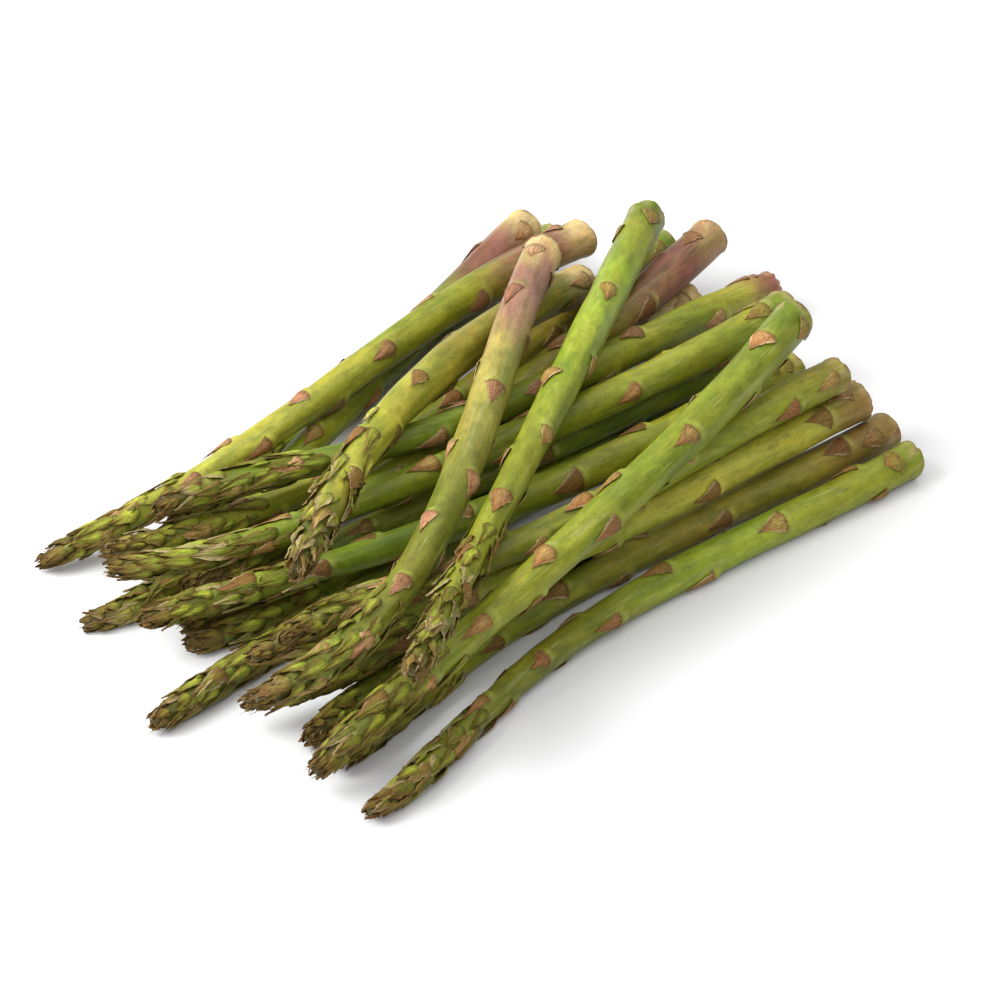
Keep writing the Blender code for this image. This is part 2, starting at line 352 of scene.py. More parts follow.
class Line:
    """One laid spear: its centre line, and the room that its neighbours leave round it."""

    def __init__(self, number, laid, shift):
        self.spear = SPEARS[number]
        self.points = laid[number][0] - shift
        self.whole = line_length(self.points)
        self.feet, self.turns = scale_feet(self.spear, self.whole)
        self.random = np.random.default_rng(number)
        steps = np.linalg.norm(np.diff(self.points, axis=0), axis=1)
        self.s = np.concatenate(([0], np.cumsum(steps)))
        self.slopes = np.gradient(self.points, self.s, axis=0)
        others = [(p - shift, r) for k, (p, r) in enumerate(laid) if k != number]
        self.room = self.room_table(others)

    def along(self, s):
        """Point, direction and up normal at a distance from the butt, straight past the ends."""
        inside = np.clip(s, 0, self.whole)
        at = np.stack([np.interp(inside, self.s, self.points[:, k]) for k in range(3)], 1)
        ahead = np.stack([np.interp(inside, self.s, self.slopes[:, k]) for k in range(3)], 1)
        ahead /= np.linalg.norm(ahead, axis=1)[:, None]
        up = np.array([0, 0, 1.0]) - ahead * ahead[:, 2:]
        up /= np.linalg.norm(up, axis=1)[:, None]
        return at + ahead * (s - inside)[:, None], ahead, up

    def place(self, s, turn, off):
        """Points at a distance from the butt, a turn round the line and a distance off it."""
        at, ahead, up = self.along(s.ravel())
        side = np.cross(ahead, up)
        angle = np.radians(turn.ravel())[:, None]
        return at + (up * np.cos(angle) + side * np.sin(angle)) * off.ravel()[:, None]

    def bare(self, s):
        """Radius without scales, shrinking fast past the tip."""
        past = np.clip(1 - (s - self.whole) / PAST_TIP, 0.1, 1)
        return radius(self.spear, np.clip(self.whole - s, 0, None), self.whole) * past

    def room_table(self, others):
        """Distance from the bare skin to the nearest other spear, on a coarse grid."""
        turns = np.arange(ROOM_COLUMNS) * 360 / ROOM_COLUMNS
        s, turn = np.meshgrid(np.linspace(0, self.whole, ROOM_ROWS), turns, indexing="ij")
        skin = self.place(s, turn, self.bare(s))
        room = [(np.linalg.norm(skin[:, None] - p[::2], axis=2) - r[::2]).min(1)
                for p, r in others]
        room = np.minimum(np.min(room, 0), skin[:, 2] + TABLE_ROOM)
        return room.reshape(s.shape)

    def cap(self, s, turn):
        """Height that the neighbours leave for relief, read between the points of the grid."""
        row = np.clip(s / self.whole, 0, 0.9999) * (ROOM_ROWS - 1)
        column = (turn % 360) * ROOM_COLUMNS / 360
        i, j = row.astype(int), column.astype(int) % ROOM_COLUMNS
        a, b = row - i, column - column.astype(int)
        after = (j + 1) % ROOM_COLUMNS
        below = self.room[i, j] * (1 - b) + self.room[i, after] * b
        above = self.room[i + 1, j] * (1 - b) + self.room[i + 1, after] * b
        return np.maximum((below * (1 - a) + above * a - GAP / 2) / 2, LEAST_RELIEF)

    def fibre(self, s, turn, off):
        """The same points on a straight spear, apart from all others, for patterns in the skin."""
        angle = np.radians(turn.ravel())
        flat = (off.ravel() * np.cos(angle), off.ravel() * np.sin(angle), s.ravel())
        return np.stack(flat, 1) + SPEARS.index(self.spear) * np.array([PATTERN_STEP, 0, 0])


# Piece of a mesh: its points and faces, then for each point its colour, its place on a straight
# spear, 1 on a scale and -1 on the cut, and how dry it is
Part = namedtuple("Part", "points quads triangles tint fibre leaf dry")


def ring_quads(rows, columns):
    """Quads between the rings of one tube."""
    row, column = np.meshgrid(np.arange(rows - 1), np.arange(columns), indexing="ij")
    a = row * columns + column
    b = row * columns + (column + 1) % columns
    return np.stack((a, b, b + columns, a + columns), -1).reshape(-1, 4)


def tube_faces(count, rows, columns):
    """Quads between rings and a fan at each end, for a number of closed tubes."""
    size = rows * columns + 2
    k = np.arange(columns)
    after = (k + 1) % columns
    last = (rows - 1) * columns
    first_fan = np.stack((after, k, np.full(columns, size - 2)), 1)
    last_fan = np.stack((last + k, last + after, np.full(columns, size - 1)), 1)
    fans = np.vstack((first_fan, last_fan))
    starts = (np.arange(count) * size)[:, None, None]
    quads = (ring_quads(rows, columns) + starts).reshape(-1, 4)
    return quads, (fans + starts).reshape(-1, 3)


def shell_faces(count, rows, columns):
    """Faces of thin shells: an outer and an inner grid joined all round."""
    loop = columns * 2
    i = np.arange(columns - 1)
    under, under_next = loop - 1 - i, loop - 2 - i
    foot = np.stack((i + 1, i, under, under_next), 1)
    point = np.stack((i, i + 1, under_next, under), 1) + (rows - 1) * loop
    quads = np.vstack((ring_quads(rows, loop), foot, point))
    return (quads + (np.arange(count) * rows * loop)[:, None, None]).reshape(-1, 4)


def waves(random, s, turn, longest, count=7):
    """Slow unevenness between -1 and 1: a sum of waves that run round and along the spear."""
    total = np.zeros(np.broadcast(s, turn).shape)
    for _ in range(count):
        around = random.integers(0, 5)
        along = random.uniform(0.3, 1) * 2 * math.pi / longest
        total += np.cos(np.radians(turn) * around + s * along + random.uniform(0, 2 * math.pi))
    return total / count ** 0.5 / 1.5


def blend(amount_of_second, first, second):
    """The first colour where the amount is 0, the second where it is 1."""
    first, second = np.asarray(first), np.asarray(second)
    return first + (second - first) * np.asarray(amount_of_second)[..., None]


def look_colours(line, palette):
    """The spear's colours: cut, band, stem, stem near the head and scales."""
    return [np.array(getattr(palette, name)) for name in line.spear.colours.split()]


def stem_tint(line, palette, s, turn):
    """Skin colour: cut end, the band after it, the stem and the head, with uneven borders."""
    butt, near, stem, low, _ = look_colours(line, palette)
    reach = line.spear.reach
    noise = waves(np.random.default_rng(line.spear.butt[0] + 7), s, turn, 26)
    x = s + noise * 5
    tint = blend(step_up(x / 16 - 0.25), butt, near)
    tint = blend(step_up((x - reach * 0.35) / (reach * 0.65)), tint, stem)
    tint = blend(step_up((x / line.whole - 0.33) / 0.3), tint, low)
    from_tip = line.whole - s + noise * 4
    tint = blend(step_up(1 - from_tip / 55) * 0.75, tint, palette.head)
    tint = blend(step_up(1 - from_tip / 14) * 0.8, tint, palette.tip)
    return tint * (1 + 0.07 * noise[..., None])


def scale_sizes(line, shape):
    """Length and height of each scale of the solid: longer in the head and lower at the tip."""
    back = line.whole - line.feet
    crowded = np.exp(-(back / CROWDED) ** 2)
    long = (shape.leaf_length + shape.head_extra * crowded) / MM
    return long, shape.leaf_height / MM * np.clip((back + 10) / 25, 0.5, 1)


def mound(line, shape, s, turn):
    """Swelling under the scales, and the rim behind each foot that is paler than the skin."""
    columns = (line.feet, line.turns, *scale_sizes(line, shape))
    feet, turns, long, high = [column[:, None, None] for column in columns]
    wide = math.degrees(shape.leaf_width) + 4
    t = (s - feet) / long
    across = (turn - turns + 180) % 360 - 180
    narrow = np.clip(1 - t, 0.05, 1) ** 0.8
    side = held(1 - (across / (wide * narrow)) ** 2)
    corner = 0.9 * (across / wide) ** 2
    rise = step_up((s - feet + 2.2 - corner) / 2.2)
    swell = (high * side * held(1 - t) * rise * 0.7).max(0)
    behind = s - feet - corner + 0.9
    rim = (np.exp(-(behind / 1.1) ** 2) * held(1.2 - np.abs(across) / wide)).max(0)
    return swell, rim


def stem_part(line, palette, shape):
    """The stem: its own radius plus slow lumps, ribs and the swelling under the scales. The first
    rings lie on the cut, which is a little sunk, slanted and rough."""
    rows = int(line.whole / STEM_STEP)
    worn_rim = [0, 0.25, 0.7]
    s = np.concatenate((0 * np.array(CUT_RINGS), worn_rim, np.linspace(1.3, line.whole, rows)))
    inside = np.concatenate((CUT_RINGS, [0.975, 1, 1], np.ones(rows)))
    turn = np.arange(STEM_COLUMNS) * 360 / STEM_COLUMNS + line.spear.turn
    s, turn = np.meshgrid(s, turn, indexing="ij")
    inside = np.repeat(inside[:, None], STEM_COLUMNS, 1)
    draw = line.random
    tilt, tilt_turn = draw.uniform(0.4, 2.2), draw.uniform(0, 360)
    lumps = waves(draw, s, turn, 30) * shape.lump_height / MM
    twist = np.radians(turn + s * draw.uniform(-0.25, 0.25))
    ribs = np.cos(twist * 5 + draw.uniform(0, 6)) + np.cos(twist * 8)
    ribs = ribs * waves(draw, s, turn, 90) * shape.rib_height / MM
    swell, rim = mound(line, shape, s, turn)
    head = step_up(1 - (line.whole - s) / 50)
    folds = waves(draw, s * 0.5, turn * 3, 12) * 0.25 * head
    relief = np.minimum(swell + rim * 0.28 + lumps + ribs + folds, line.cap(s, turn))
    worn = held(1 - s / 0.7) ** 2 * 0.2
    flare = np.exp(-((s - 1.2) / 1.0) ** 2) * 0.2 * (1 + waves(draw, s, turn * 2, 9))
    off = (line.bare(s) + relief + flare - worn) * inside
    slant = tilt * (1 + np.cos(np.radians(turn - tilt_turn)) * inside) / 2
    rough = waves(draw, s, turn * 2 + inside * 400, 9) * 0.12
    chips = held(waves(draw, s, turn * 3, 9)) * 1.1
    sunk = 0.35 * (1 - inside ** 2) + rough * (inside < 0.97) + chips * (inside > 0.9)
    points = line.place(s + (slant + sunk) * held(1 - s / 6), turn, off)

    cut = held((0.99 - inside) / 0.02)
    tint = stem_tint(line, palette, s, turn)
    # Painted shade: within 44 mm of the tip the skin under the head's scales is darkened towards
    # this colour
    tint = blend(step_up(1 - (line.whole - s) / 44) * 0.7, tint, palette.painted_crevice_shade)
    tint = blend(rim * 0.45, tint, palette.margin)
    uneven = waves(draw, s, turn * 2, 9)
    tint = blend(held(1.2 - s / 3.0 + uneven) * 0.35, tint, palette.paper)
    tint = blend(held(1.2 - s / 1.0 + uneven * 1.5) * 0.7, tint, palette.umber)
    tint = blend(cut, tint, blend(0.6, tint, palette.flesh))
    dry = held(held(1 - s / 2.2) * 0.5 + head * 0.3)
    ends = np.array([[sunk[0].mean() + slant[0].mean(), line.whole], [0, 0], [0, 0]])
    return closed_part(line, 1, s, turn, off, points, ends, tint, -cut, dry)


def closed_part(line, count, s, turn, off, points, ends, tint, leaf, dry):
    """Gathers tubes of rings and closes each with a point at both ends."""
    rows, columns = s.shape[-2:]
    ends = [values.ravel() for values in ends]

    def with_ends(values, width=1):
        """Values of the rings of each tube, then their means at its two ends."""
        values = values.reshape(count, rows, columns, width)
        both = np.stack((values[:, 0].mean(1), values[:, -1].mean(1)), 1)
        return np.concatenate((values.reshape(count, rows * columns, width), both), 1)

    def with_points(rings, tips):
        rings = rings.reshape(count, rows * columns, 3)
        return np.concatenate((rings, tips.reshape(count, 2, 3)), 1).reshape(-1, 3)

    quads, triangles = tube_faces(count, rows, columns)
    return Part(with_points(points, line.place(*ends)), quads, triangles,
                with_ends(tint, 3).reshape(-1, 3),
                with_points(line.fibre(s, turn, off), line.fibre(*ends)),
                with_ends(leaf).ravel(), with_ends(dry).ravel())


def draws(line, count):
    """Two functions that draw one number for each of a count of forms: evenly between two limits,
    or round 0 with a given spread."""
    each = (count, 1, 1)
    return (lambda low, high: line.random.uniform(low, high, each),
            lambda spread: line.random.normal(0, spread, each))


def leaf_list(line, shape):
    """Where each scale stands and how large it is: those of the solid, then narrower ones that
    wind up the head by the golden angle, closer and closer to the tip, and two old ones at the
    butt. Columns: foot, turn, length, half width in degrees, height, and 1 for the close scales of
    the head."""
    long, high = scale_sizes(line, shape)
    wide = np.full(long.shape, math.degrees(shape.leaf_width))
    main = np.stack((line.feet, line.turns, long, wide, high, 0 * long), 1)
    order = np.arange(shape.head_leaves)
    spread = 0.033 + 0.008 * max(0, line.spear.ragged - 0.7)
    back = 1.2 + 16 * (np.exp(spread * order) - 1)
    foot = line.whole - back
    long = 2.6 + 9.5 * (1 - np.exp(-back / 18))
    wide = np.degrees(np.minimum(2.15, 0.9 + 0.1 * back) / line.bare(foot))
    high = 0.25 + 0.5 * held(back / 15)
    turn = order * GOLDEN_ANGLE + line.spear.turn + 60
    close = np.stack((foot, turn, long, wide, high, 0 * back + 1), 1)
    low = np.array([(4, -80, 7, 34), (7, 90, 7, 34)])
    more = np.array([(6, 130, 5, 14), (8, 170, 5, 14)])
    old = np.hstack((low + more * line.random.uniform(0, 1, (2, 4)), [(0.7, 0), (0.7, 0)]))
    return np.vstack((main, close, old))


def leaf_part(line, palette, shape):
    """Scales: thin shells. The outline is a shield that narrows to a thin point. The foot is sunk
    in the stem, the middle is puffed up and the point lies down. In the head they are narrower,
    creased and dry, and their points lie on the feet of the next ones. Here p runs from the foot of
    a scale to its point, and q across it from -1 to 1 and back on the inner side."""
    leaves = leaf_list(line, shape)
    count = len(leaves)
    foot, turn0, long, wide, high, close = [column[:, None, None] for column in leaves.T]
    uniform, normal = draws(line, count)
    back = line.whole - foot
    torn = line.spear.ragged * (0.2 + 0.8 * step_up(1.35 - back / 85))
    foot = foot + normal(1) * close * held(back / 12)
    turn0 = turn0 + normal(12) * close
    long = long * uniform(0.8, 1.2) * (1 + close * uniform(-0.15, 0.25))
    wide = wide * uniform(0.78, 1.12)
    high = high * uniform(0.7, 1.3)
    skew = normal(7) * (1 + close)
    curl = uniform(0, 1) ** 2.2 * torn * 1.6
    roll = uniform(-0.3, 1.1) * torn
    p = np.linspace(0, 1, LEAF_ROWS)[None, :, None] ** 0.9
    q = np.linspace(-1, 1, LEAF_COLUMNS)
    q = np.concatenate((q, q[::-1]))[None, None]
    side = np.abs(q)
    inner = (np.arange(LEAF_COLUMNS * 2) >= LEAF_COLUMNS)[None, None]
    by_row = (count, LEAF_ROWS, 1)
    wobble = line.random.normal(0, 1, by_row) * (0.05 + 0.10 * torn)
    outline = (1 - p ** uniform(1.1, 1.6)) ** uniform(1.05, 1.45) + 0.015
    turn = turn0 + q * wide * outline * (1 + wobble * side) + skew * p
    base = foot - 0.5 + uniform(0.6, 1.6) * side ** 2.6
    s = base + p * (foot + long - base)
    s = np.minimum(s, line.whole + 1.4 + 0.8 * np.sin(turn0))
    puff = step_up(p / (0.16 + 0.2 * close)) * (1 - p) ** (0.75 + 0.25 * close)
    puff = puff * (1 - 0.6 * q ** 2)
    ride = close * (0.1 + uniform(0.3, 0.9) * p * np.clip(back / 10, 0.3, 1))
    crease = np.cos(q * 5.2 + uniform(0, 6)) * (0.05 + 0.15 * close) * step_up(p * 3)
    ripple = line.random.normal(0, 1, by_row) * 0.12 * torn * q
    flare = curl * p ** 2.5 + roll * 0.7 * q ** 2 * 4 * p * (1 - p)
    flare = flare + close * 0.5 * p ** 3 * held(1 - back / 12)
    sunk = held(p * long / 0.8)
    lift = (0.22 + high * puff + ride + crease + ripple + flare) * sunk - 0.4 * (1 - sunk)
    thick = shape.leaf_thickness / MM * (1 - 0.6 * side ** 3) * (1 - 0.4 * p)
    lift = np.minimum(lift, line.cap(s, turn) + np.minimum(flare, 0.5)) - np.where(inner, thick, 0)
    off = np.maximum(line.bare(s) + lift, 0.1)
    points = line.place(s, turn, off)
    tint, dry = leaf_tint(line, palette, s, turn, p, side, foot, long, back, close, torn)
    quads = shell_faces(count, LEAF_ROWS, LEAF_COLUMNS)
    return Part(points, quads, np.zeros((0, 3), int), tint.reshape(-1, 3),
                line.fibre(s, turn, off), np.ones(s.size), dry.ravel())


def leaf_tint(line, palette, s, turn, p, side, foot, long, back, close, torn):
    """Colour and dryness of the scales. On the stem they are brown or blushed with a green middle,
    papery edges, a pale foot and a band of painted shade just inside the foot. In the head they are
    green with withered edges, a painted highlight along the middle and painted shade towards the
    foot."""
    uniform, _ = draws(line, len(foot))
    shade, choice = uniform(0, 1), uniform(0, 1)
    scale = look_colours(line, palette)[4]
    head, tip, umber = np.array(palette.head), np.array(palette.tip), np.array(palette.umber)
    stem = stem_tint(line, palette, s, turn)
    middle = np.exp(-(side / 0.55) ** 2) * np.exp(-((p - 0.3) / 0.3) ** 2)
    old = choice < 0.55
    body = blend(middle * 0.5 * old + shade * 0.25, scale, umber)
    body = blend(middle * 0.4 * ~old, body, stem * 0.5 + np.array(palette.paper) * 0.35)
    body = blend(step_up((side - 0.3) / 0.35) * (0.25 + 0.6 * shade), body, umber * 0.85)

    green = blend(0.25 + 0.5 * shade, stem, head) * (0.6 + 1.1 * choice[..., None])
    # Painted shade: each head scale is darker towards its foot, under the scales that overlap it
    green = green * (0.45 + 0.55 * step_up(p * 3.5))[..., None]
    # Painted highlight: each head scale is lighter along its middle and darker at its sides
    green = green * (0.85 + 0.5 * np.exp(-(side / 0.4) ** 2))[..., None]
    dark_edge = step_up((side - 0.40) / 0.45) * (0.4 + 0.6 * shade)
    dark_edge = np.maximum(dark_edge, step_up((p - 0.35) / 0.6) * (0.35 + 0.6 * choice))
    straw = uniform(0, 1) < 0.45 * torn - 0.15
    rust = blend(straw * 0.75, blend(choice, umber, tip), palette.paper)
    green = blend(dark_edge, green, rust)

    margin = step_up((side - 0.72) / 0.28)
    edge = np.maximum(margin, step_up((p - 0.86) / 0.14))
    body = blend(step_up((edge - 0.3) / 0.7) * (0.15 + 0.6 * (shade < 0.6)), body, palette.paper)
    body = body * (0.75 + 0.5 * choice[..., None])
    body = blend(step_up((p - 0.45) / 0.5) * (0.3 + 0.5 * choice), body, umber)
    fresh = np.where(foot < 14, 0.7, uniform(0, 0.4)) * step_up(1.15 - p)
    body = blend(fresh, body, stem * 0.9 + scale * 0.12)
    # Painted shade: a darker band about 1.5 mm inside the foot of each scale, where it dips under
    # the rim
    body = blend(np.exp(-((p * long - 1.5) / 0.7) ** 2) * 0.65, body, umber * 0.75)
    body = blend(np.exp(-(p * long / 0.8) ** 2) * 0.85, body, palette.margin)

    at_head = np.maximum(close, step_up(1 - back / 45) * 0.75)
    pale_rim = margin * (shade > 0.7) * 0.35
    tint = blend(at_head, body, blend(pale_rim, green, np.array(palette.margin) * 0.8))
    withered = step_up(1 - (line.whole - s) / 12) * (0.35 + 0.4 * choice)
    tint = blend(withered, tint, tip * (0.6 + 1.0 * shade[..., None]))
    return tint, held(0.15 + 0.3 * edge + 0.5 * withered + 0.3 * torn + 0.25 * at_head)


BOTH_ENDS = np.array([0, 1])[None, :, None]


def ring_angles(columns):
    """Angles round a thin tube."""
    return (np.arange(columns) * 2 * math.pi / columns)[None, None]


def bud_part(line, palette, shape):
    """Buds that show between the scales of the head: long pointed ovals, half sunk in the stem."""
    count = shape.buds
    uniform, normal = draws(line, count)
    back = uniform(0, 1) ** 0.8 * 46 + 4
    foot = line.whole - back
    turn0 = np.arange(count)[:, None, None] * GOLDEN_ANGLE + line.random.uniform(0, 60)
    long = np.minimum(uniform(3.5, 7.5), back * 0.8 + 1)
    wide = uniform(0.6, 1.15) * np.clip(back / 12, 0.5, 1)
    p = np.linspace(0.06, 0.94, BUD_ROWS)[None, :, None]
    angle = ring_angles(BUD_COLUMNS)
    girth = np.sin(math.pi * p ** 0.7) ** 0.8 * (1 - 0.45 * p)
    s = foot + p * long + 0 * angle
    bare = line.bare(s)
    reach = wide * girth
    ridge = 1 + 0.18 * np.cos(3 * angle + p * 4)
    off = bare + 0.25 + 0.5 * p + reach * 0.9 * ridge * np.cos(angle)
    bend = normal(14)
    turn = turn0 + np.degrees(reach * ridge * np.sin(angle) / np.maximum(bare, 1)) + bend * p
    off = np.minimum(off, bare + line.cap(s, turn) + 0.3)
    points = line.place(s, turn, off)
    end_s = foot + long * BOTH_ENDS
    ends = (end_s, turn0 + bend * BOTH_ENDS, line.bare(end_s) + 0.1 + 0.5 * BOTH_ENDS)

    shade = uniform(0, 1)
    stem = stem_tint(line, palette, s, turn)
    tint = blend(0.6, stem, palette.head) * (1.3 - 0.6 * shade[..., None])
    tint = blend(step_up((p - 0.35) / 0.6) * (0.4 + 0.5 * shade), tint, palette.tip)
    grid = np.ones(s.shape)
    dry = step_up((p - 0.5) / 0.5) * 0.6 * grid
    return closed_part(line, count, s, turn, off, points, ends, tint, grid, dry)


def fibre_part(line, palette, shape):
    """Dry fibres on the head: thin tapered threads that start on the skin and curl away from it."""
    ragged = line.spear.ragged
    count = int(shape.fibres * (0.7 + ragged))
    uniform, normal = draws(line, count)
    at_tip = (np.arange(count) % 2 == 0)[:, None, None]
    back = np.where(at_tip, uniform(0.3, 5), uniform(5, 45))
    long = np.where(at_tip, uniform(1.5, 4.2), uniform(1.5, 5.0) * (0.6 + ragged))
    turn0, twist, rise = uniform(0, 360), normal(40), uniform(0.2, 1.6)
    angle = ring_angles(FIBRE_COLUMNS)

    def path(p):
        """Distance from the butt, turn and distance off the line at a share of the length."""
        base = line.bare(line.whole - back) + 0.3
        return line.whole - back + long * p * 0.9, turn0 + twist * p ** 2, base + rise * p ** 1.6

    p = np.linspace(0.04, 0.96, FIBRE_ROWS)[None, :, None]
    girth = 0.13 * (1 - 0.75 * p)
    path_s, path_turn, path_off = path(p)
    s = path_s + 0 * angle
    off = path_off + girth * np.cos(angle)
    turn = path_turn + np.degrees(girth * np.sin(angle) / path_off)
    points = line.place(s, turn, off)
    grid = np.ones(s.shape)
    shade = uniform(0, 1) ** 2 * grid
    tint = blend(shade * 0.8, palette.tip, palette.paper)
    return closed_part(line, count, s, turn, off, points, path(BOTH_ENDS), tint, grid, grid)


def build_mesh(name, parts):
    """One mesh from closed parts, with their colours, patterns and dryness as attributes."""
    starts = np.cumsum([0] + [len(part.points) for part in parts[:-1]])
    quads = np.vstack([part.quads + start for part, start in zip(parts, starts)])
    triangles = np.vstack([part.triangles + start for part, start in zip(parts, starts)])
    points = np.vstack([part.points for part in parts])
    points[:, 2] = np.maximum(points[:, 2], ABOVE_FLOOR)
    corners = np.concatenate((quads.ravel(), triangles.ravel()))
    sizes = np.concatenate((np.full(len(quads), 4), np.full(len(triangles), 3)))
    mesh = bpy.data.meshes.new(name)
    mesh.vertices.add(len(points))
    mesh.vertices.foreach_set("co", (points * MM).astype(np.float32).ravel())
    mesh.loops.add(len(corners))
    mesh.loops.foreach_set("vertex_index", corners.astype(np.int32))
    mesh.polygons.add(len(sizes))
    mesh.polygons.foreach_set("loop_start", (np.cumsum(sizes) - sizes).astype(np.int32))
    mesh.update(calc_edges=True)
    mesh.shade_smooth()
    mesh.set_sharp_from_angle(angle=math.radians(SHARP_ANGLE))
    values = {key: np.concatenate([getattr(part, key) for part in parts])
              for key in ("tint", "fibre", "leaf", "dry")}
    opaque = np.ones((len(points), 1))
    values["tint"] = np.hstack((np.clip(values["tint"], 0.003, 1), opaque))
    kinds = {"tint": ("FLOAT_COLOR", "color"), "fibre": ("FLOAT_VECTOR", "vector")}
    for key, numbers in values.items():
        kind, field = kinds.get(key, ("FLOAT", "value"))
        data = mesh.attributes.new(key, kind, "POINT").data
        data.foreach_set(field, numbers.astype(np.float32).ravel())
    return mesh


class Signal:
    """A number in a shader. Arithmetic on it adds Math nodes."""

    def __init__(self, graph, socket):
        self.graph = graph
        self.socket = socket

    def join(self, operation, first, second=0.0, clamp=False):
        settings = {"operation": operation, "use_clamp": clamp}
        sockets = {0: first, 1: second}
        return Signal(self.graph, self.graph.node("Math", settings, sockets, 0))

    def __add__(self, other):
        return self.join("ADD", self, other)

    def __sub__(self, other):
        return self.join("SUBTRACT", self, other)

    def __mul__(self, other):
        return self.join("MULTIPLY", self, other)

    def __rsub__(self, other):
        return self.join("SUBTRACT", other, self)

    __radd__ = __add__
    __rmul__ = __mul__

    def held(self):
        """The number held between 0 and 1."""
        return self.join("ADD", self, 0.0, clamp=True)

    def ramp(self, low, high):
        """0 below low, 1 above high and smooth between."""
        settings = {"interpolation_type": "SMOOTHSTEP"}
        sockets = {"Value": self, "From Min": low, "From Max": high}
        made = self.graph.node("MapRange", settings, sockets, "Result")
        return Signal(self.graph, made)


class Graph:
    """The node tree of a material or a world."""

    def __init__(self, owner):
        owner.use_nodes = True
        self.owner = owner
        self.tree = owner.node_tree
        self.tree.nodes.clear()

    def node(self, kind, settings, sockets, output):
        """Adds a shader node: its settings first, then the value or link of each socket."""
        made = self.tree.nodes.new("ShaderNode" + kind)
        for name, value in settings.items():
            setattr(made, name, value)
        for name, value in sockets.items():
            if isinstance(value, Signal):
                value = value.socket
            if isinstance(value, bpy.types.NodeSocket):
                self.tree.links.new(value, made.inputs[name])
            else:
                made.inputs[name].default_value = value
        return made.outputs[output]

    def attribute(self, name, output):
        return self.node("Attribute", {"attribute_name": name}, {}, output)

    def number(self, name):
        return Signal(self, self.attribute(name, "Fac"))

    def vector(self, operation, first, second, output=0):
        settings = {"operation": operation}
        return self.node("VectorMath", settings, {0: first, 1: second}, output)

    def mix(self, factor, first, second, way="MIX"):
        settings = {"data_type": "RGBA", "blend_type": way}
        return self.node("Mix", settings, {0: factor, 6: first, 7: second}, 2)

    def grey(self, number):
        return self.node("CombineColor", {}, {0: number, 1: number, 2: number}, 0)

    def finish(self, surface, kind="OutputMaterial"):
        """Links the surface to the output and returns the material or world."""
        output = self.tree.nodes.new("ShaderNode" + kind)
        self.tree.links.new(surface, output.inputs["Surface"])
        return self.owner


